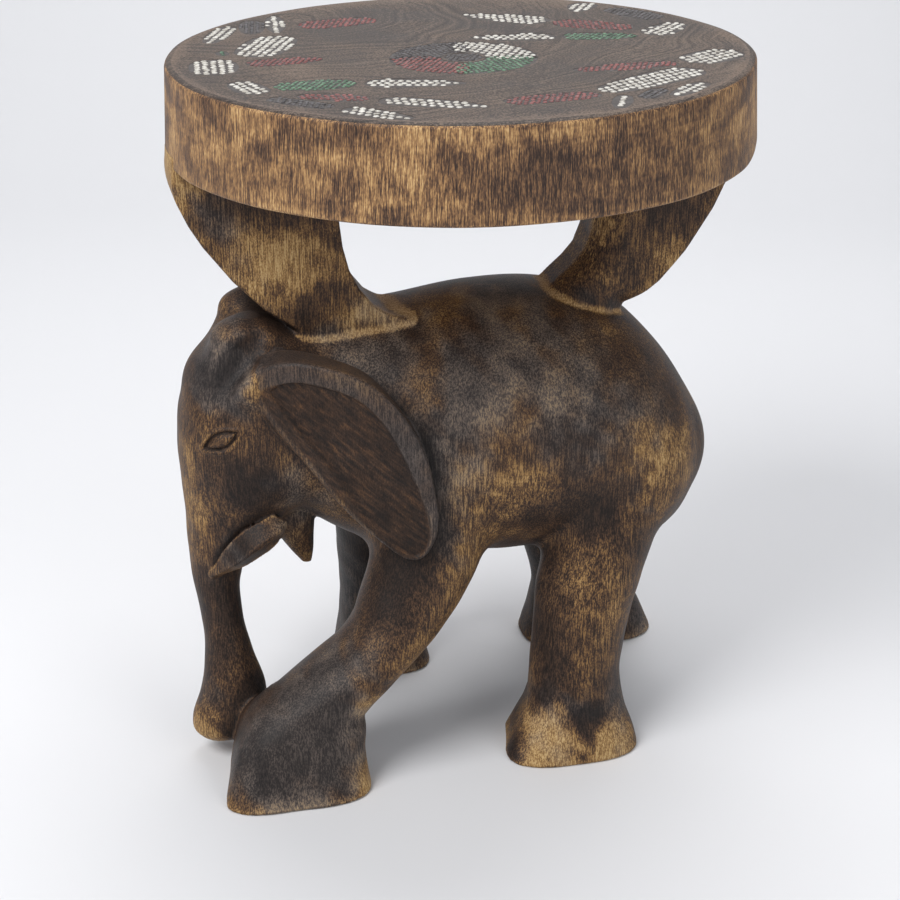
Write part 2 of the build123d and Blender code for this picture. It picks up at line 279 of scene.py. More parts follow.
left_foreleg = skin([       # z, then x, y, half length, half width, squareness
    (180, -20, -15, 23, 21), (155, -17.2, -22, 27.2, 26), (127, -18.1, -30, 27.1, 27),
    (97, -28.5, -37, 26.5, 25), (70, -46.5, -43, 23.5, 24), (54, -66, -46, 27.5, 23),
    (40, -82.5, -48, 28.5, 22, 2.2), (24, -92, -49, 25, 20, 2.4), (14, -93, -49, 22, 18, 2.4),
])
left_forefoot = pared(skin([
    (44, -87.5, -48, 21, 18, 2.4), (36, -88, -48.5, 28, 22.5, 2.8), (17, -92.5, -50.5, 33.5, 25.5, 3.2),
    (0, -95.5, -52, 38.5, 30, 3.6),
]), (-131.5, -69, 0), (-0.967, 0.193, 0.165), 3.0)

right_foreleg = skin([
    (180, -27, 27, 23, 21), (155, -26, 35, 29, 26), (127, -26, 42, 29, 26), (90, -31, 48, 22, 23),
    (50, -29, 55, 20.5, 21, 2.2), (20, -28, 58, 22.5, 21.5, 2.6), (0, -27.5, 58, 26.5, 24, 3.0),
])

left_hindleg = pared(skin([
    (178, 84, -16, 23, 21), (155, 82, -24, 29, 26), (132, 76, -30, 29, 27, 1.95),
    (112, 68.5, -34, 27.5, 26, 1.85), (88, 60, -39, 27, 25, 1.75), (62, 55.5, -42, 24.5, 23.5, 1.75),
    (36, 52, -45, 24.5, 22.5, 1.8), (20, 52, -46, 27.5, 23.5, 2.2), (8, 50.5, -47.2, 33, 25.5, 2.7),
    (0, 48.5, -47.5, 36.5, 26.5, 3.0),
]), (12.9, -57.6, 0), (-0.90, 0.25, 0.34), 3.0, reach=30)

right_hindleg = skin([
    (178, 84, 28, 23, 21), (155, 84, 36, 29, 26), (132, 80, 41, 29, 27), (112, 78, 46, 27, 26, 1.9),
    (66, 80, 55, 27, 23, 1.85), (36, 88, 61, 27, 21), (18, 92, 64, 32, 23, 2.4), (0, 94, 65, 37.5, 24, 2.9),
])

tail = cord([
    (92, 17, 200, 3.6), (107, 20, 181, 3.8), (120, 23, 154, 4), (121.5, 26, 127, 3.6), (116, 29, 104, 5.5),
    (109, 31, 86, 1.5),
])


def tusk(side):
    """Tusk with the lip over it, in relief: a crescent of two facets that meet in a ridge."""
    stations = [            # x, y, z, reach from the ridge to the edge
        (-94, 26, 128.5, 6.5), (-101, 27.5, 125.5, 8.4), (-109, 26.5, 119.5, 8.6), (-117.5, 23.5, 111, 6.4),
        (-127.5, 17.5, 100.5, 1.6),
    ]
    knots = np.arange(float(len(stations)))
    fine = np.linspace(0, knots[-1], 25)
    line = np.array([curve_through(knots, column, fine) for column in np.array(stations).T]).T

    def distance(points):
        best = np.full(points.shape[1], FAR * 4)
        for (x, y, z, reach), (run_x, run_y, run_z, growth) in zip(line, np.diff(line, axis=0)):
            length = math.hypot(run_x, run_z)
            off_x, off_z = points[0] - x, points[2] - z
            run = (off_x * run_x + off_z * run_z) / length
            along = np.clip(run / length, 0, 1)
            across = (off_x * run_z - off_z * run_x) / length
            outward = points[1] * side - (y + run_y * along)
            facets = (np.sqrt(across ** 2 + 0.4) + np.abs(outward) - (reach + growth * along)) * 0.75
            off = np.hypot(np.maximum(facets, 0), run - along * length)
            best = np.minimum(best, off + np.minimum(facets, 0))
        return best

    low, high = np.array([-132, 10, 94]), np.array([-80, 40, 140])
    if side < 0:
        low[1], high[1] = -high[1], -low[1]
    return Form(distance, low, high)


# ---- ears
EAR_LEAF = Outline([        # x, z: crease at the head, over the top, down to the tip and back
    (-108, 204), (-101, 215), (-88, 220), (-70, 218), (-54, 211), (-40, 196), (-30, 176), (-25, 155),
    (-24, 137), (-30, 123), (-38, 121), (-48, 128), (-66, 146), (-84, 168), (-101, 190),
], smooth=True)
EAR_CREASE, EAR_TIP = (-107.0, 35.0), (-25.0, 66.0)     # x and distance from the middle
EAR_LENGTH = math.dist(EAR_CREASE, EAR_TIP)
EAR_THICK = 9.0
EAR_RIM = 8.5
EAR_DISH = 2.6
EAR_CORNER = 2.4


def ear_place(x, y):
    """Places along the ear from crease to tip, and out from it, y being the distance from the middle."""
    run_x, run_y = EAR_TIP[0] - EAR_CREASE[0], EAR_TIP[1] - EAR_CREASE[1]
    off_x, off_y = x - EAR_CREASE[0], y - EAR_CREASE[1]
    return (off_x * run_x + off_y * run_y) / EAR_LENGTH, (off_y * run_x - off_x * run_y) / EAR_LENGTH


def ear_rear(x, z):
    """0 along the ear's free front edge, 1 over its top and rear."""
    return smooth_step(-26, 6, (x + 66) * 0.78 + (z - 172) * 0.62)


def ear_rim(z, rear):
    """Width of the rolled rim: it thins down towards the ear's tip."""
    return (EAR_RIM + 1.5 * rear) * (0.22 + 0.78 * smooth_step(120, 178, z))


def ear(side):
    """Flap that hangs free in front, with a rolled rim above and behind a shallow dish."""

    def distance(points):
        x, y, z = points[0], points[1] * side, points[2]
        edge = EAR_LEAF(x, z)
        along, outward = ear_place(x, y)
        bow = 5.0 * np.sin(np.clip(along / EAR_LENGTH, 0, 1) * math.pi)
        rear = ear_rear(x, z)
        depth = -edge
        rim = ear_rim(z, rear)
        roll = EAR_DISH * rear * smooth_step(rim + 0.9, rim - 0.9, depth)
        gouges = 0.16 * np.sin((x * 0.72 - z * 0.69) * 0.95 + 0.8 * np.sin(z * 0.11))
        swell = roll + 1.2 * smooth_step(0, 22, depth) * (1 - rear) + gouges
        face = outward - bow + EAR_DISH - swell
        back = -(outward - bow) - EAR_THICK - 9 * rear
        return common(edge, np.maximum(face, back), EAR_CORNER)

    (x_low, z_low), (x_high, z_high) = EAR_LEAF.low + EAR_LEAF.margin, EAR_LEAF.high - EAR_LEAF.margin
    ends = np.array([[x_low, 20 * side, z_low], [x_high, 78 * side, z_high]])
    return Form(distance, ends.min(axis=0), ends.max(axis=0))


# ---- supports
SUPPORT_HALF = 15.0
SUPPORT_TOP = 313.0         # inside the seat
FRONT_SUPPORT = Outline([   # x, z, seen from the left
    (-142, 320), (-139, 305), (-135.5, 293), (-130, 280), (-124, 269.5), (-111, 251.5), (-97, 236.5),
    (-82, 225), (-74, 206), (-30, 206), (-25, 226), (-36, 229), (-44, 234), (-51, 243), (-56, 253),
    (-59, 265), (-60.5, 278), (-61, 320),
])
REAR_SUPPORT = Outline([
    (142, 320), (139, 303), (132.5, 289), (124, 271), (111, 251), (98.5, 236.5), (83, 224), (78, 206),
    (50, 206), (43, 231), (50, 237.5), (57, 243.5), (62.5, 250), (66, 259), (67.5, 270), (68, 320),
])


def support(outline, low_x, high_x, soft=0.0):
    """Bracket sawn to the outline, its broad faces slightly bowed, flush with the log.

    soft is how much its inner arris on the left is rounded off.
    """

    def distance(points):
        x, y, z = points
        profile = outline(x, z)
        bow = 1.5 * (1 - ((z - 262) / 50) ** 2)
        faces = np.abs(y - SUPPORT_Y) - SUPPORT_HALF - bow
        log = np.maximum(np.hypot(x, y) - log_radius(z), z - SUPPORT_TOP)
        inner_left = smooth_step(330, 280, z) * smooth_step(8, -8, y) * smooth_step(94, 74, np.abs(x))
        rounding = 1.6 + soft * inner_left
        return common(profile, np.maximum(faces, log), rounding)

    return Form(distance, (low_x, SUPPORT_Y - 18, 204), (high_x, SUPPORT_Y + 18, SUPPORT_TOP))


front_support = support(FRONT_SUPPORT, -141, -22)
rear_support = support(REAR_SUPPORT, 40, 141, soft=15.0)

NECK_FILLET = 12
members = [                 # form, fillet with what comes before it
    (left_foreleg, 14), (left_forefoot, 3), (right_foreleg, 14), (left_hindleg, 9), (right_hindleg, 9),
    (jaw, 3), (tail, 3), (ear(-1), 1.6), (ear(1), 1.6), (tusk(-1), 1.4), (tusk(1), 1.4),
    (front_support, 4.0), (rear_support, 1.6),
]
brow_bumps = [blob((-102, side * 30, 205), (13, 8, 12)) for side in (-1, 1)]
temple_hollows = [          # left, right
    cord([(-102, -25, 226, 2.5), (-113, -29, 214, 6.5), (-125, -26.5, 200, 3.5)]),
    cord([(-104, 36, 222, 1.5), (-114, 35, 209, 4.5), (-124, 29.5, 197, 3.0)]),
]
EYE_X, EYE_Z, EYE_HALF, EYE_TILT = -121.0, 177.0, 8.6, math.radians(33)


def eye_relief(points):
    """How far the almond eye stands out: ball, groove round it and raised lids."""
    x, z = points[0] - EYE_X, points[2] - EYE_Z
    along = x * math.cos(EYE_TILT) + z * math.sin(EYE_TILT)
    across = z * math.cos(EYE_TILT) - x * math.sin(EYE_TILT)
    share = along / EYE_HALF
    opening = 3.3 * (1 - share ** 2)
    past_corner = np.hypot(across, np.abs(along) - EYE_HALF)
    off = np.where(np.abs(share) < 1, np.abs(across) - opening, past_corner)
    groove = np.exp(-(off / 0.75) ** 2)
    lids = np.exp(-((off - 2.0) / 0.9) ** 2)
    ball = smooth_step(-0.4, -2.6, off)
    facing = smooth_step(12, 18, np.abs(points[1])) * smooth_step(24, 16, np.hypot(x, z))
    return (0.9 * ball + 0.6 * lids - 1.1 * groove) * facing


def knife_work(points):
    """Slight unevenness of a hand-cut surface."""
    x, y, z = points
    return (0.35 * np.sin(x * 0.083 + 1.3 * np.sin(z * 0.049)) * np.sin(z * 0.071 + y * 0.06 + 1.0)
            + 0.16 * np.sin(x * 0.21 + z * 0.13) * np.sin(z * 0.19 - y * 0.17))


def figure(points):
    """Distance to the whole carved figure."""
    found = joined(barrel(points), head(points), NECK_FILLET)
    for dome in domes:
        found = joined(found, dome(points), 9)
    for bump in brow_bumps:
        found = joined(found, bump(points), 6)
    for hollow in temple_hollows:
        found = cut(found, hollow(points), 7)
    found = found - eye_relief(points)
    for form, blend in members:
        found = joined(found, form(points), blend)
    found = found - knife_work(points) * smooth_step(226, 210, points[2])
    return -joined(-found, points[2], 1.6)


# ---- from distances to a mesh
def grid_points(low, step, index):
    return np.array(low)[:, None] + index * step


def sampled(form, low, high, step, block=4):
    """The form on a grid: in full near its surface, by blocks elsewhere."""
    counts = [int(math.ceil((h - l) / (step * block))) for l, h in zip(low, high)]
    coarse_index = np.indices(counts).reshape(3, -1)
    middles = grid_points(np.array(low) + step * (block - 1) / 2, step * block, coarse_index)
    coarse = form(middles)
    close = np.abs(coarse) < step * block * 1.6
    values = np.repeat(np.repeat(np.repeat(coarse.reshape(counts), block, 0), block, 1), block, 2)
    starts = coarse_index[:, close] * block
    offsets = np.indices((block, block, block)).reshape(3, -1)
    for chunk in np.array_split(np.arange(starts.shape[1]), max(1, starts.shape[1] // 6000)):
        index = (starts[:, chunk, None] + offsets[:, None, :]).reshape(3, -1)
        values[tuple(index)] = form(grid_points(low, step, index))
    return values


def surface_net(values, low, step):
    """Vertices and quads of the grid's zero surface."""
    inside = values < 0
    shape = np.array(values.shape) - 1
    corners = [inside[i:i + shape[0], j:j + shape[1], k:k + shape[2]]
               for i in (0, 1) for j in (0, 1) for k in (0, 1)]
    count = sum(corner.astype(np.int8) for corner in corners)
    cells = np.argwhere((count > 0) & (count < 8))
    number = np.full(tuple(shape), -1, np.int64)
    number[tuple(cells.T)] = np.arange(len(cells))
    total, weight = np.zeros((len(cells), 3)), np.zeros(len(cells))
    for axis in range(3):
        others = [other for other in range(3) if other != axis]
        for shift in ((0, 0), (0, 1), (1, 0), (1, 1)):
            start = cells.copy()
            start[:, others] += shift
            stop = start.copy()
            stop[:, axis] += 1
            v1, v2 = values[tuple(start.T)], values[tuple(stop.T)]
            crossing = (v1 < 0) != (v2 < 0)
            place = start.astype(float)
            place[:, axis] += np.where(crossing, v1 / np.where(crossing, v1 - v2, 1), 0)
            total += place * crossing[:, None]
            weight += crossing
    vertices = np.array(low) + total / weight[:, None] * step
    quads = []
    for axis in range(3):
        others = [(axis + 1) % 3, (axis + 2) % 3]
        start = [slice(1, n) for n in shape]
        start[axis] = slice(0, shape[axis])
        stop = list(start)
        stop[axis] = slice(1, shape[axis] + 1)
        here, there = inside[tuple(start)], inside[tuple(stop)]
        edges = np.argwhere(here != there)
        outward = here[tuple(edges.T)]
        edges += np.array([s.start for s in start])
        around = []
        for shift in ((1, 1), (0, 1), (0, 0), (1, 0)):
            cell = edges.copy()
            cell[:, others] -= shift
            around.append(number[tuple(cell.T)])
        ring = np.array(around).T
        quads.append(np.where(outward[:, None], ring, ring[:, ::-1]))
    return vertices, np.vstack(quads)


def gradient(form, vertices, reach=0.4):
    """How steeply the form rises along each axis at each vertex."""
    points = vertices.T
    offsets = np.eye(3)[:, :, None] * reach
    return np.array([(form(points + offset) - form(points - offset)) / (2 * reach) for offset in offsets]).T


def settle(form, vertices, rounds=2):
    """Moves the vertices onto the form's surface; returns them with their normals."""
    for _ in range(rounds):
        slope = gradient(form, vertices)
        steep = np.maximum((slope ** 2).sum(axis=1), 0.2)
        vertices = vertices - slope * np.clip(form(vertices.T) / steep, -0.6, 0.6)[:, None]
    slope = gradient(form, vertices)
    return vertices, slope / (np.linalg.norm(slope, axis=1)[:, None] + 1e-9)


def refined(vertices, faces, chosen):
    """Each chosen quad becomes four; its neighbours take the new points into their edges."""
    middles, added, result = {}, [], []

    def edges(face):
        return [(min(edge), max(edge)) for edge in zip(face, (*face[1:], face[0]))]

    for face in (faces[k] for k in np.flatnonzero(chosen)):
        for edge in edges(face):
            if edge not in middles:
                middles[edge] = len(vertices) + len(added)
                added.append((vertices[edge[0]] + vertices[edge[1]]) / 2)
        ring = [middles[edge] for edge in edges(face)]
        centre = len(vertices) + len(added)
        added.append(vertices[list(face)].mean(axis=0))
        result += [(face[k], ring[k], centre, ring[k - 1]) for k in range(4)]
    for face in (faces[k] for k in np.flatnonzero(~chosen)):
        ring = []
        for corner, edge in zip(face, edges(face)):
            ring += [corner, middles[edge]] if edge in middles else [corner]
        result.append(tuple(ring))
    return np.vstack([vertices, added]), result


FINE_BOXES = [              # low and high corners where the mesh is twice as fine
    ((-140, -70, 92), (-18, -14, 236)),
    ((-140, 14, 118), (-18, 72, 232)),
]
EYE_BOXES = [((-136, -36, 168), (-108, -14, 188)), ((-136, 14, 168), (-108, 36, 188))]


def within(vertices, faces, boxes):
    """Which quads have their middle in one of the boxes."""
    middles = np.array([vertices[list(face)].mean(axis=0) for face in faces])
    quads = np.array([len(face) == 4 for face in faces])
    near = [np.all((middles > low) & (middles < high), axis=1) for low, high in boxes]
    return quads & np.any(near, axis=0)


def carve(form, low, high, step):
    """Mesh of a form, finer where the detail is, with its normals."""
    vertices, quads = surface_net(sampled(form, low, high, step), low, step)
    vertices, _ = settle(form, vertices)
    faces = [tuple(quad) for quad in quads.tolist()]
    for boxes in (FINE_BOXES, EYE_BOXES):
        vertices, faces = refined(vertices, faces, within(vertices, faces, boxes))
        vertices, normals = settle(form, vertices)
    return vertices, faces, normals


# ---- wear
# Many of these spots are painted light where the seat shades the back and the supports' inner faces, and
# painted shade on the cheek, the low flank and the far foreleg.
WEAR_AND_PAINTED_LIGHT = [                  # x, y, z, radius, amount: lighter above 0, darker below 0; partly wear, partly painted light and shade
    (-14, -6, 230, 24, 0.55), (33, -32, 222, 30, 0.25), (18, -20, 230, 26, 0.35), (-6, -54, 151, 22, 0.5),
    (-6, -54, 170, 20, 0.2), (20, -55, 150, 18, 0.45), (8, -54, 196, 22, 0.32), (38, -52, 200, 18, 0.4),
    (28, -58, 178, 16, -0.05), (68, -58, 168, 26, 0.25), (79, -54, 174, 16, 0.2), (96, -50, 160, 18, 0.5),
    (103, -47, 146, 20, 0.55), (86, -54, 132, 18, 0.35), (96, -31, 196, 26, -0.05),
    (65, -36, 214, 22, 0.25), (36, -54, 132, 16, -0.35), (56, -54, 130, 18, -0.35),
    (-2, -54, 120, 18, 0.45), (-14, -57, 97, 18, 0.3), (-27, -60, 79, 15, 0.4), (-40, -64, 64, 14, 0.45),
    (-59, -67, 44, 10, 0.75), (-36, -60, 122, 22, -0.4), (-50, -58, 98, 20, -0.35),
    (-82, -62, 61, 24, -0.05), (-103, -65, 40, 24, 0.05), (-96, -73, 16, 26, -0.05),
    (-62, -68, 8, 12, 1.05), (-60, -62, 22, 9, 0.3), (54, -60, 104, 20, 0.4), (59, -64, 80, 18, 0.4),
    (54, -66, 52, 14, 0.3), (35, -52, 62, 18, -0.35), (40, -62, 44, 12, -0.2), (34, -66, 12, 17, 1.45),
    (66, -69, 9, 16, 1.25), (54, -70, 24, 10, -1.1), (54, -71, 12, 5, -0.8), (18, -60, 6, 10, -1.1),
    (30, -57, 32, 9, -0.3), (-136, -9, 132, 18, 0.4), (-133, -13, 104, 14, 0.15),
    (-122, -18, 90, 20, -0.35), (-120, -20, 66, 20, -0.3), (-133, -20, 14, 15, 1.15),
    (-114, -33, 160, 14, -0.4), (-103, -32, 148, 14, -0.55), (-118, -28, 143, 12, -0.05),
    (-121, -21, 208, 15, -0.15), (-104, -36, 206, 11, 0.6), (-102, -8, 233, 15, 0.3),
    (-121, -18, 221, 10, 0.15), (-86, -24, 222, 16, -0.2), (-128, -20, 190, 14, 0.25),
    (-136, -10, 160, 16, 0.3), (-108, -29, 122, 13, -0.75), (-121, -22, 112, 9, -0.35),
    (-137, 0, 302, 26, 1), (-101, -19, 265, 18, 0.7), (-80, -19, 260, 18, 0.8), (-92, -19, 247, 14, 0.6),
    (-110, -19, 282, 14, 0.25), (-92, -19, 298, 22, -0.45), (-66, -19, 240, 12, -0.15),
    (-60, -19, 256, 9, 0.35), (-42, -19, 232, 10, 0.9), (-57, -19, 229, 8, 0.6), (-64, -19, 290, 16, -0.2),
    (64, -10, 262, 10, 0.75), (101, -19, 249, 10, 0.55), (114, -19, 276, 18, -0.3), (84, -19, 262, 14, 0.1),
    (67, -19, 243, 12, 0.3), (110, -19, 298, 14, 0.05), (-49, -40, 208, 18, 0.15), (-27, -44, 202, 22, 0.2),
    (80, -48, 190, 20, 0.1), (-90, 34, 60, 30, 0.1), (90, 60, 14, 14, 0.6), (-32, 76, 10, 14, 0.6),
    (70, 60, 150, 30, 0.3), (20, 66, 150, 26, 0.3), (118, 30, 160, 22, 0.3), (-60, 60, 150, 22, 0.2),
    (-50, 30, 100, 24, -0.3), (-45, 45, 90, 40, -0.6), (62, -4, 286, 18, 0.6), (52, -4, 258, 18, 0.7),
]
GREY_AND_PAINTED_SHEEN = [                  # x, y, z, radius, amount: where the wood turns cold grey, partly its stain and partly painted sheen on smooth dark facets
    (-95, -66, 34, 44, 1.1), (-121, -21, 206, 20, 1), (18, -16, 232, 30, 0.8), (-30, -50, 190, 44, 0.5),
    (20, -50, 190, 40, 0.7), (80, -50, 175, 30, 0.5), (-117, -26, 118, 12, 0.8), (-130, -18, 150, 32, -0.7),
    (-120, -20, 70, 40, -0.6), (55, -62, 90, 50, -0.8), (20, -55, 145, 30, -0.6), (100, -45, 150, 26, -0.6),
    (-90, -19, 262, 40, -0.3), (90, -19, 262, 40, -0.8), (54, -2, 266, 34, -0.9), (-40, -60, 100, 30, -0.4),
]


def spots(table, vertices):
    """Sum of round soft-edged spots, their edges ragged."""
    x, y, z = vertices.T
    ragged = 1 + 0.22 * np.sin(x * 0.31 + z * 0.17) * np.sin(z * 0.37 - y * 0.23)
    total = np.zeros(len(vertices))
    for *middle, radius, amount in table:
        off = np.linalg.norm(vertices - middle, axis=1) * ragged
        total += amount * smooth_step(radius * 1.3, radius * 0.35, off)
    return total


def wear_and_painted_light_mark(form, vertices, normals):
    """How far each vertex is worn to bare wood, exposed edges more and hollows less, plus spots of wear and
    of painted light and shade.
    """
    def exposed(depth):
        return np.clip(1 + form((vertices - normals * depth).T) / depth, 0, 1)

    def sheltered(height):
        return np.clip(1 - form((vertices + normals * height).T) / height, 0, 1)

    mark = 0.55 * (exposed(7) - sheltered(9)) + 0.9 * (exposed(1.5) - sheltered(1.5))
    points = vertices.T
    bracket = np.minimum(np.abs(front_support(points)), np.abs(rear_support(points)))
    body = np.abs(joined(barrel(points), head(points), NECK_FILLET))
    seam = smooth_step(3.0, 0.8, bracket) * smooth_step(3.4, 0.8, body)
    # The spots add painted light and shade as well as wear.
    return mark + 1.4 * seam + spots(WEAR_AND_PAINTED_LIGHT, vertices)


def ear_marks(vertices):
    """Where the ears' hollows and their rims are, each from 0 to 1."""
    hollow, rim = np.zeros(len(vertices)), np.zeros(len(vertices))
    points = vertices.T
    for side in (-1, 1):
        near = np.abs(ear(side)(points)) < 1.4
        x, z = points[0, near], points[2, near]
        rear = ear_rear(x, z)
        _, outward = ear_place(x, points[1, near] * side)
        inside = smooth_step(-0.4, 0.8, -EAR_LEAF(x, z) - ear_rim(z, rear) * rear)
        inside *= smooth_step(-6, -3, outward)
        hollow[near] = np.maximum(hollow[near], inside)
        rim[near] = np.maximum(rim[near], (1 - inside) * smooth_step(0.05, 0.6, rear))
    return hollow, rim


# ---- objects
LEAN = math.tan(math.radians(0.95))     # the seat leans: its right side, seen from the front, is up
LEAN_FADE = (236, 306)      # heights over which the lift sets in
SLIDE_FADE = (290, 312)     # and the slide
SEAT_ASIDE = 0.7            # how far the seat has slid to the right


def lean(vertices):
    """The seat's lean, fading out down the supports."""
    sideways = np.array(aside)
    height = vertices[:, 2]
    slide = smooth_step(*SLIDE_FADE, height) * (SEAT_ASIDE + (SEAT_TOP - height) * LEAN)
    leaned = vertices + slide[:, None] * sideways
    leaned[:, 2] += smooth_step(*LEAN_FADE, height) * (vertices @ sideways) * LEAN
    return leaned


def band(first, second, count):
    """Quads between two rings of vertices, each given by its first vertex."""
    return [(first + k, first + (k + 1) % count, second + (k + 1) % count, second + k) for k in range(count)]


def add_mesh(name, vertices, faces, materials, marks=None):
    """Smooth-shaded object from millimetre vertices and faces, with marks on its vertices."""
    mesh = bpy.data.meshes.new(name)
    counts = np.array([len(face) for face in faces])
    corners = np.concatenate([np.asarray(face) for face in faces])
    mesh.vertices.add(len(vertices))
    mesh.vertices.foreach_set("co", (np.asarray(vertices) * MM).ravel())
    mesh.loops.add(len(corners))
    mesh.loops.foreach_set("vertex_index", corners.astype(np.int32))
    mesh.polygons.add(len(faces))
    mesh.polygons.foreach_set("loop_start", (np.cumsum(counts) - counts).astype(np.int32))
    mesh.polygons.foreach_set("use_smooth", np.full(len(faces), True))
    mesh.update(calc_edges=True)
    mesh.validate()
    for key, values in (marks or {}).items():
        mesh.attributes.new(key, "FLOAT", "POINT").data.foreach_set("value", values.astype(np.float32))
    for material in materials:
        mesh.materials.append(material)
    thing = bpy.data.objects.new(name, mesh)
    bpy.context.scene.collection.objects.link(thing)
    return thing


def stand_for(thing, node):
    """The object shows in place of the CAD node, on the one body."""
    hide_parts(node)
    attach(thing, "root")


# ---- materials
def rgb(red, green, blue):
    """Colour as seen on a screen, 0 to 255, as Blender's linear colour."""
    shares = (red / 255, green / 255, blue / 255)
    linear = [share / 12.92 if share <= 0.04 else ((share + 0.055) / 1.055) ** 2.4 for share in shares]
    return (*linear, 1.0)


class Shader:
    """Short names for a material's nodes and links."""

    def __init__(self, name):
        self.material = bpy.data.materials.new(name)
        self.material.use_nodes = True
        self.tree = self.material.node_tree
        self.place = self.node("ShaderNodeTexCoord").outputs["Object"]

    def node(self, kind, inputs=(), **settings):
        """New node with its settings, and its inputs fed by name or number."""
        made = self.tree.nodes.new(kind)
        for key, value in settings.items():
            setattr(made, key, value)
        self.feed(made, dict(inputs))
        return made

    def feed(self, node, inputs):
        for key, value in inputs.items():
            if isinstance(value, bpy.types.NodeSocket):
                self.tree.links.new(value, node.inputs[key])
            else:
                node.inputs[key].default_value = value

    def math(self, operation, a, b=0.0, c=0.0):
        return self.node("ShaderNodeMath", {0: a, 1: b, 2: c}, operation=operation).outputs[0]

    def total(self, base, *terms):
        """The base plus each term's value times its weight."""
        for value, weight in terms:
            base = self.math("MULTIPLY_ADD", value, weight, base)
        return base

    def mapped(self, scale=(1, 1, 1), offset=(0, 0, 0), turn=(0, 0, 0), place=None):
        place = self.place if place is None else place
        inputs = {"Vector": place, "Scale": scale, "Location": offset, "Rotation": turn}
        return self.node("ShaderNodeMapping", inputs).outputs[0]

    def noise_at(self, place, detail, rough=0.5, warp=0.0):
        inputs = {"Vector": place, "Scale": 1.0, "Detail": detail, "Roughness": rough, "Distortion": warp}
        return self.node("ShaderNodeTexNoise", inputs).outputs["Fac"]

    def noise(self, scale, detail=3.0, rough=0.55, offset=(0, 0, 0), warp=0.0):
        """Noise whose grain is one metre over the scale, along each axis."""
        return self.noise_at(self.mapped(scale, offset), detail, rough, warp)

    def span(self, value, low, high, to_low=0.0, to_high=1.0):
        """The value's range from low to high, spread smoothly over another."""
        inputs = dict(enumerate((value, low, high, to_low, to_high)))
        return self.node("ShaderNodeMapRange", inputs, interpolation_type="SMOOTHSTEP").outputs[0]

    def mix(self, share, a, b):
        inputs = {"Factor": share, "A": a, "B": b}
        return self.node("ShaderNodeMix", inputs, data_type="RGBA").outputs["Result"]

    def ramp(self, value, stops):
        """Colour along a run of (place, red, green, blue)."""
        made = self.node("ShaderNodeValToRGB", {0: value})
        elements = made.color_ramp.elements
        while len(elements) < len(stops):
            elements.new(0.5)
        for element, stop in zip(elements, stops):
            element.position = stop[0]
        for element, stop in zip(elements, stops):
            element.color = rgb(*stop[1:])
        return made.outputs[0]

    def mark(self, name):
        return self.node("ShaderNodeAttribute", attribute_name=name).outputs["Fac"]

    def dressed(self, colour, rough, specular=0.5, coat=0.0, relief=None):
        """The material, its surface fed; relief is a bump's height, distance and strength."""
        inputs = {"Base Color": colour, "Roughness": rough}
        inputs |= {"Specular IOR Level": specular, "Coat Weight": coat}
        if relief:
            bump = dict(zip(("Height", "Distance", "Strength"), relief))
            inputs["Normal"] = self.node("ShaderNodeBump", bump).outputs[0]
        self.feed(self.tree.nodes["Principled BSDF"], inputs)
        return self.material


def figure_material():
    """Stained wood with upright grain, worn through in specks to gold and tan; the wear mark also brings
    painted light and shade, and the grey tone in part painted sheen.
    """
    s = Shader("carved_wood")
    wear_and_painted_light, hollow, rim, grey_and_painted_sheen = (s.mark(name) for name in ("wear_and_painted_light", "hollow", "rim", "grey"))
    broad = s.noise((24, 24, 18), 4, 0.62)
    mottle = s.noise((95, 95, 60), 3, 0.6, offset=(3, 7, 1))
    speck = s.noise((2000, 2000, 800), 2, 0.7)
    fibre = s.noise((1400, 1400, 95), 3, 0.62, offset=(3, 1, 7))
    # The wear mark also carries painted light and shade.
    wear_and_light_share = s.total(wear_and_painted_light, (broad, 1.5), (mottle, 1.4), (hollow, -0.35), (rim, -0.25))
    level = s.span(wear_and_light_share, 0.45, 2.95)
    grain = s.total(0.0, (fibre, 0.58), (speck, 0.42))
    swing = s.total(0.2, (level, s.total(0.75, (level, -0.6))))
    # Grey places, partly painted sheen, get less speckle.
    swing = s.math("MULTIPLY", swing, s.total(1.0, (grey_and_painted_sheen, -0.25)))
    tone = s.total(0.05, (level, 0.66), (s.span(grain, 0.39, 0.61, -0.5, 0.5), swing))
    golden = s.ramp(tone, [(0.0, 26, 19, 16), (0.2, 56, 41, 32), (0.38, 88, 64, 45), (0.52, 122, 92, 58),
                           (0.68, 160, 126, 80), (0.85, 190, 159, 110), (1.0, 208, 183, 140)])
    grey = s.ramp(tone, [(0.0, 28, 25, 25), (0.2, 52, 46, 44), (0.38, 84, 75, 70), (0.52, 112, 98, 86),
                         (0.68, 146, 126, 102), (0.85, 184, 160, 126), (1.0, 204, 180, 144)])
    # The grey ramp is the stain's cool tone and, on smooth dark facets, painted sheen.
    drift = s.noise((30, 30, 24), 3, 0.6, offset=(5, 5, 5))
    wood = s.mix(s.span(s.total(drift, (grey_and_painted_sheen, 0.3)), 0.44, 0.74), golden, grey)
    rim_wood = s.mix(s.span(grain, 0.4, 0.6), rgb(46, 41, 39), rgb(82, 73, 69))
    wood = s.mix(s.math("MULTIPLY", rim, 0.6), wood, rim_wood)
    along_ear = s.mapped(turn=(0, math.radians(-40.5), 0))
    ear_grain = s.noise_at(s.mapped((55, 420, 620), place=along_ear), 3)
    ear_tone = s.total(-1.002, (ear_grain, 1.3), (wear_and_light_share, 0.16), (speck, 0.7))
    ear_wood = s.ramp(ear_tone, [(0.0, 28, 19, 14), (0.3, 58, 40, 28), (0.6, 94, 65, 41),
                                 (1.0, 150, 108, 62)])
    colour = s.mix(s.math("MULTIPLY", hollow, 0.85), wood, ear_wood)
    return s.dressed(colour, s.span(tone, 0.2, 0.7, 0.5, 0.64), 0.24, relief=(grain, 0.0005, 0.6))


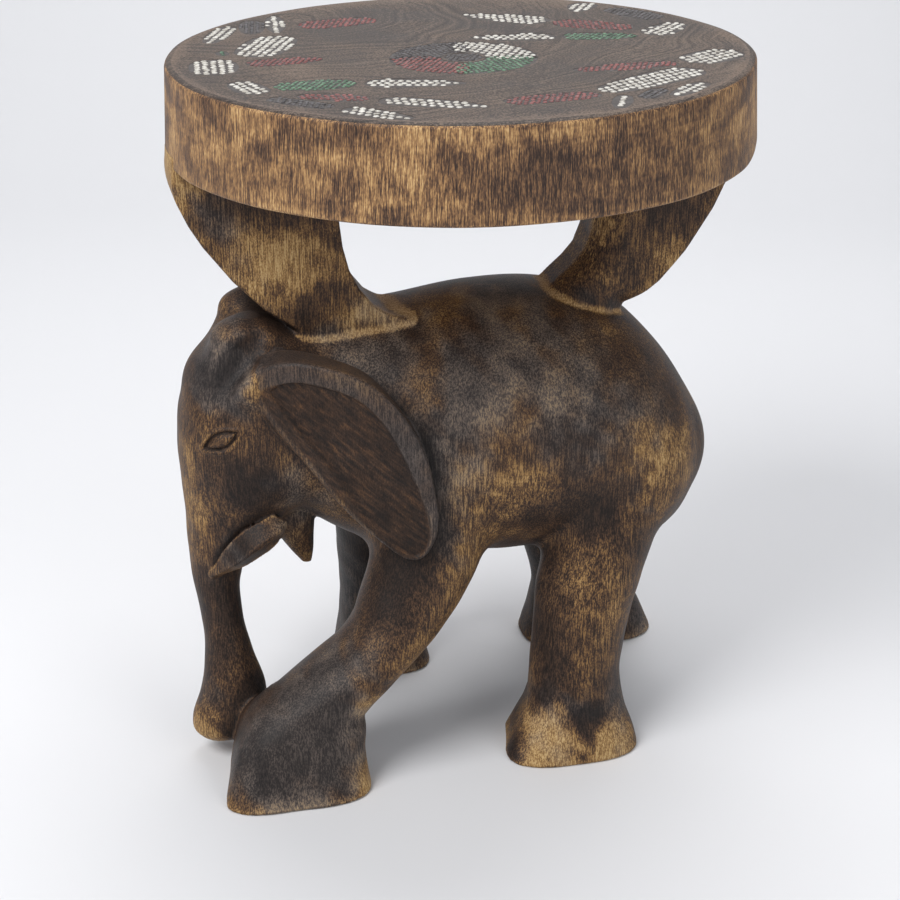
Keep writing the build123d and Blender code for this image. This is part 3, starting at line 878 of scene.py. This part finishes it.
def side_material():
    """The seat's side: golden wood under fine dark upright streaks, with dark clouds of stain."""
    s = Shader("seat_side_wood")
    broad = s.noise((13, 13, 36), 4, 0.6, offset=(2, 6, 1), warp=1.2)
    mottle = s.noise((70, 70, 50), 3, 0.6, offset=(3, 7, 1))
    streak = s.noise((1900, 1900, 85), 3, 0.66)
    speck = s.noise((2000, 2000, 600), 1.5, 0.5, offset=(4, 4, 4))
    cloud = s.span(s.total(0.0, (broad, 0.58), (mottle, 0.42)), 0.36, 0.64, 0.2, 0.66)
    tone = s.total(cloud, (s.mark("wear_and_painted_light"), 0.1), (s.span(streak, 0.36, 0.64, -0.5, 0.5), 0.46),
                   (s.span(speck, 0.35, 0.65, -0.5, 0.5), 0.18))
    colour = s.ramp(tone, [(0.0, 44, 31, 25), (0.25, 80, 58, 44), (0.45, 122, 90, 62), (0.62, 160, 122, 80),
                           (0.8, 192, 154, 104), (1.0, 214, 182, 134)])
    return s.dressed(colour, s.span(tone, 0.2, 0.8, 0.5, 0.62), 0.35, relief=(streak, 0.0005, 0.6))


def top_material():
    """The seat's top: stained grey brown, the log's figure showing faintly, the rim worn."""
    s = Shader("seat_top_wood")
    from_pith = s.node("ShaderNodeVectorMath", {0: s.mapped((1, 1, 0), (0.06, -0.09, 0))}, operation="LENGTH")
    drift = s.noise((9, 9, 9), 2, 0.5, offset=(6, 2, 0))
    ring = s.math("MULTIPLY", s.total(from_pith.outputs["Value"], (drift, 0.1)), 420.0)
    line = s.noise_at(s.node("ShaderNodeCombineXYZ", {0: ring}).outputs[0], 2)
    broad = s.noise((18, 18, 18), 4, 0.6)
    pores = s.noise((1100, 1100, 1100), 2, 0.6)
    tone = s.total(0.0, (line, 0.34), (broad, 0.36), (pores, 0.6))
    colour = s.ramp(s.span(tone, 0.5, 0.8), [(0.0, 38, 31, 27), (0.5, 70, 59, 52), (1.0, 112, 97, 85)])
    edge = s.total(s.mark("wear_and_painted_light"), (pores, 1.6))
    colour = s.mix(s.span(edge, 1.35, 1.9, 0.0, 0.6), colour, rgb(122, 103, 88))
    return s.dressed(colour, s.span(broad, 0.3, 0.7, 0.5, 0.64), 0.3, relief=(tone, 0.0004, 0.4))


def bead_material(name, colour, shade, rough):
    """Opaque glass seed beads, no two quite alike."""
    s = Shader(name)
    tint = s.mix(s.span(s.noise((420, 420, 420), 1.5, 0.6), 0.35, 0.66), rgb(*shade), rgb(*colour))
    return s.dressed(tint, s.span(s.noise((120, 120, 120), 2), 0.3, 0.7, rough, rough + 0.2), coat=0.2)


def stage_material(name, colour):
    s = Shader(name)
    return s.dressed(s.mix(s.noise((2, 2, 2), 2), colour, colour), 0.75)


# ---- seat
RIM_PARTS = 384
RIM_WORN = 2.2              # rounding of the top rim
UNDER_WORN = 1.6            # and of the bottom rim
UNDER_ROUND = 8.0           # larger rounding of the bottom rim over the rear support
TOP_INSET = 0.4             # pocket floors under the seat's top, where the beads are bedded
BED_RISE = 0.26             # the dark resin over the floors


def node_outline(name):
    """Outline of a bead field: the rim of its CAD node's top face, in millimetres."""
    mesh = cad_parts[name].data
    top = max(v.co.z for v in mesh.vertices)
    key = {v.index: (round(v.co.x * 1e5), round(v.co.y * 1e5)) for v in mesh.vertices}
    used = {}
    for face in mesh.polygons:
        if all(mesh.vertices[v].co.z > top - 1e-5 for v in face.vertices):
            ring = [key[v] for v in face.vertices]
            for edge in zip(ring, ring[1:] + ring[:1]):
                used[edge] = True
    following = {a: b for a, b in used if (b, a) not in used}
    start = next(iter(following))
    ring, place = [start], following[start]
    while place != start:
        ring.append(place)
        place = following[place]
    return np.array(ring) / 100.0


def rounded(ring, pitch=1.0):
    """The outline with its straight cuts drawn out to curves, in even steps."""
    closed = np.vstack([ring[-3:], ring, ring[:3]])
    run = np.concatenate([[0], np.cumsum(np.hypot(*np.diff(closed, axis=0).T))])
    start, stop = run[3], run[-3]
    places = np.linspace(start, stop, max(12, int((stop - start) / pitch)), endpoint=False)
    return np.array([curve_through(run, column, places) for column in closed.T]).T


def seat_mesh(outlines):
    """Round seat with a pocket for each outline: vertices, faces and how worn each is."""
    turn = np.arange(RIM_PARTS) / RIM_PARTS * 2 * math.pi
    wobble = 0.35 * np.sin(turn * 3 + 0.6) + 0.25 * np.sin(turn * 7 + 2.1) + 0.12 * np.sin(turn * 17)
    over_rear = smooth_step(0.75, 0.15, np.abs((turn + math.pi) % (2 * math.pi) - math.pi - 0.06))
    under = UNDER_WORN + (UNDER_ROUND - UNDER_WORN) * over_rear
    rows, worn = [], []
    arc = np.linspace(0, math.pi / 2, 6)

    def ring(inset, height, wear):
        radius = log_radius(height) + wobble - inset
        rows.append(np.stack([radius * np.cos(turn), radius * np.sin(turn), height + 0 * turn], axis=1))
        worn.append(np.full(RIM_PARTS, wear))

    for angle in arc:
        ring(under * (1 - math.sin(angle)), SEAT_UNDERSIDE + under * (1 - math.cos(angle)), 0.25)
    for share in np.linspace(0.24, 0.88, 8):
        ring(0.0, SEAT_UNDERSIDE + SEAT_THICKNESS * share, 0.0)
    for angle in arc:
        ring(1.6 * RIM_WORN * (1 - math.cos(angle)), SEAT_TOP - RIM_WORN * (1 - math.sin(angle)), 0.15)
    vertices = np.vstack(rows)
    faces = []
    for row in range(len(rows) - 1):
        faces += band(row * RIM_PARTS, (row + 1) * RIM_PARTS, RIM_PARTS)
    faces.append(tuple(range(RIM_PARTS))[::-1])
    rim = vertices[-RIM_PARTS:, :2]
    loops = [rim] + outlines
    flat = np.vstack(loops)
    starts = np.cumsum([0] + [len(loop) for loop in loops])
    edges = [(a + k, a + (k + 1) % (b - a)) for a, b in zip(starts, starts[1:]) for k in range(b - a)]
    made, _, triangles, *_ = delaunay_2d_cdt([Vector(p) for p in flat], edges, [], 0, 1e-5)
    base = len(vertices) - RIM_PARTS
    top = np.array([(p.x, p.y, SEAT_TOP) for p in made])
    top_worn = smooth_step(SEAT_RADIUS - 7, SEAT_RADIUS - 3, np.hypot(top[:, 0], top[:, 1]))
    vertices = np.vstack([vertices[:base], top])
    worn = np.concatenate([np.concatenate(worn)[:base], top_worn])
    pockets = [Outline(loop, margin=1.0, pitch=0.4) for loop in outlines]
    middles = np.array([np.mean([made[v][:] for v in t], axis=0) for t in triangles])
    hole = np.zeros(len(triangles), bool)
    for pocket in pockets:
        within = np.all((middles > pocket.low) & (middles < pocket.high), axis=1)
        hole[within] |= pocket(middles[within, 0], middles[within, 1]) < 0
    faces += [tuple(base + v for v in triangle) for triangle, skipped in zip(triangles, hole) if not skipped]
    for start, stop in zip(starts[1:], starts[2:]):
        first = len(vertices)
        floor = vertices[base + start:base + stop].copy()
        floor[:, 2] -= TOP_INSET
        vertices = np.vstack([vertices, floor])
        worn = np.concatenate([worn, np.zeros(len(floor))])
        faces += band(base + start, first, stop - start)
        faces.append(tuple(range(first, first + stop - start)))
    return vertices, faces, worn


# ---- beads
GLASS = {                   # colour, darker shade, roughness, distance from bead to bead
    "white": ((206, 203, 195), (160, 154, 144), 0.35, 3.75),
    "red": ((134, 76, 72), (84, 46, 44), 0.45, 2.8),
    "green": ((92, 124, 97), (52, 78, 60), 0.45, 2.8),
    "black": ((82, 77, 78), (44, 40, 41), 0.45, 2.8),
}


def bead_shape(radius, height, around=10):
    """One bead showing over the resin as a low round dome: vertices and faces."""
    profile = [(1.0, -0.6), (1.0, 0.1), (0.9, 0.5), (0.68, 0.82), (0.34, 0.98)]
    turn = np.arange(around) / around * 2 * math.pi
    vertices = np.vstack([
        np.stack([r * radius * np.cos(turn), r * radius * np.sin(turn), np.full(around, h * height)], axis=1)
        for r, h in profile
    ])
    last = (len(profile) - 1) * around
    faces = [quad for row in range(0, last, around) for quad in band(row, row + around, around)]
    return vertices, faces + [tuple(range(last, last + around))]


def bead_places(outline, pitch, rng):
    """Staggered rows that follow the field's length and fill its outline."""
    middle = outline.mean(axis=0)
    _, _, axes = np.linalg.svd(outline - middle)
    local = (outline - middle) @ axes.T
    shape = Outline(local, margin=2.0, pitch=0.25)
    row_gap = pitch * 0.98
    places = []
    (low_x, low_y), (high_x, high_y) = local.min(axis=0), local.max(axis=0)
    for row in range(int(low_y / row_gap) - 1, int(high_y / row_gap) + 2):
        shift = pitch / 2 if row % 2 else 0.0
        for k in range(int(low_x / pitch) - 1, int(high_x / pitch) + 2):
            places.append((k * pitch + shift, row * row_gap))
    places = np.array(places) + rng.normal(0, pitch * 0.05, (len(places), 2))
    places = places[shape(places[:, 0], places[:, 1]) < -pitch * 0.36]
    return places @ axes + middle


def bead_field(name, outline, beads, resin, pitch, rng):
    """Every bead of one field and the dark resin that they are set in."""
    bed_height = SEAT_TOP - TOP_INSET + BED_RISE
    bed = np.column_stack([outline, np.full(len(outline), bed_height)])
    vertices, faces, slots = [bed], [list(range(len(outline)))], [1]
    shape, shape_faces = bead_shape(pitch * 0.37, 0.42)
    count = len(outline)
    for x, y in bead_places(outline, pitch, rng):
        tilt = rng.normal(0, 0.07, 2)
        bead = shape * rng.normal(1, 0.04) + np.array([x, y, bed_height + rng.normal(0, 0.04)])
        bead[:, 2] += (bead[:, 0] - x) * tilt[0] + (bead[:, 1] - y) * tilt[1]
        vertices.append(bead)
        faces += [[count + v for v in face] for face in shape_faces]
        slots += [0] * len(shape_faces)
        count += len(bead)
    thing = add_mesh(name + "_set", lean(np.vstack(vertices)), faces, [beads, resin])
    thing.data.polygons.foreach_set("material_index", np.array(slots, np.int32))
    stand_for(thing, name)


# ---- the pieces
def add_figure():
    step = CARVE_STEP
    vertices, faces, normals = carve(figure, CARVE_LOW, CARVE_HIGH, step)
    hollow, rim = ear_marks(vertices)
    # The wear mark holds painted light and shade as well as wear.
    marks = {"wear_and_painted_light": wear_and_painted_light_mark(figure, vertices, normals), "hollow": hollow, "rim": rim,
             # grey: the stain's cool tone, partly painted sheen
             "grey": spots(GREY_AND_PAINTED_SHEEN, vertices)}
    stand_for(add_mesh("carved_figure", lean(vertices), faces, [figure_material()], marks), "carved_stool")


def add_seat(outlines):
    vertices, faces, worn = seat_mesh(outlines)
    materials = [side_material(), top_material()]
    seat = add_mesh("carved_seat", lean(vertices), faces, materials, {"wear_and_painted_light": worn})
    heights = [vertices[list(face), 2] for face in faces]
    middle = np.array([height.mean() for height in heights])
    level = np.array([np.ptp(height) < 1e-4 for height in heights])
    on_top = (middle > SEAT_TOP - 0.5 * RIM_WORN).astype(np.int32)
    seat.data.polygons.foreach_set("material_index", on_top)
    seat.data.polygons.foreach_set("use_smooth", ~(level & (middle > SEAT_TOP - 1)))
    stand_for(seat, "carved_stool")


def add_beads(outlines):
    resin = bead_material("dark_resin", (64, 54, 49), (50, 43, 39), 0.6)
    glass = {colour: bead_material(colour + "_beads", *look) for colour, (*look, _) in GLASS.items()}
    rng = np.random.default_rng(7)
    for name, outline in outlines.items():
        colour = next((key for key in GLASS if key in name), "black")
        bead_field(name, outline, glass[colour], resin, GLASS[colour][-1], rng)


# ---- stage and light
FLOOR_REACH, WALL_TURN, STAGE_HALF = 900, 500, 3500
LAMP_AIM = Vector((0, 0, 0.2))
LAMPS = [                   # name, place as (to the right, away, up), size, power
    ("key", (-0.9, -0.9, 1.5), 1.0, 26),
    ("fill", (1.1, -1.1, 0.9), 1.2, 7),
    ("top", (0.1, 0.5, 1.7), 1.2, 14),
]


def add_stage():
    """Pale floor that curves up into a pale wall behind."""
    rows = [(-3000, 0), (FLOOR_REACH, 0)]
    rows += [(FLOOR_REACH + WALL_TURN * math.sin(a), WALL_TURN * (1 - math.cos(a)))
             for a in np.linspace(0.15, math.pi / 2, 10)]
    rows += [(FLOOR_REACH + WALL_TURN, 3000)]
    vertices = []
    for depth, height in rows:
        for sideways in (-STAGE_HALF, STAGE_HALF):
            place = aside * sideways + away * depth
            vertices.append((place.x, place.y, height - 0.15))
    faces = [(2 * k, 2 * k + 1, 2 * k + 3, 2 * k + 2) for k in range(len(rows) - 1)]
    material = stage_material("pale_stage", rgb(226, 226, 228))
    add_mesh("backdrop", np.array(vertices), faces, [material])


def add_lamp(name, place, size, power):
    data = bpy.data.lights.new(name, "AREA")
    data.shape, data.size, data.energy = "DISK", size, power
    lamp = bpy.data.objects.new(name, data)
    lamp.location = aside * place[0] + away * place[1] + Vector((0, 0, place[2]))
    lamp.rotation_euler = (LAMP_AIM - lamp.location).to_track_quat("-Z", "Y").to_euler()
    bpy.context.scene.collection.objects.link(lamp)


def add_world():
    world = bpy.data.worlds.new("studio")
    bpy.context.scene.world = world
    world.use_nodes = True
    background = world.node_tree.nodes["Background"]
    background.inputs["Color"].default_value = rgb(222, 226, 232)
    background.inputs["Strength"].default_value = 0.38


# ---- making it
add_camera()
add_figure()
bead_nodes = sorted(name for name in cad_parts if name.startswith("beads_"))
bead_outlines = {name: rounded(node_outline(name)) for name in bead_nodes}
add_seat(list(bead_outlines.values()))
add_beads(bead_outlines)
add_stage()
for lamp in LAMPS:
    add_lamp(*lamp)
add_world()
bpy.context.scene.view_settings.view_transform = "Standard"
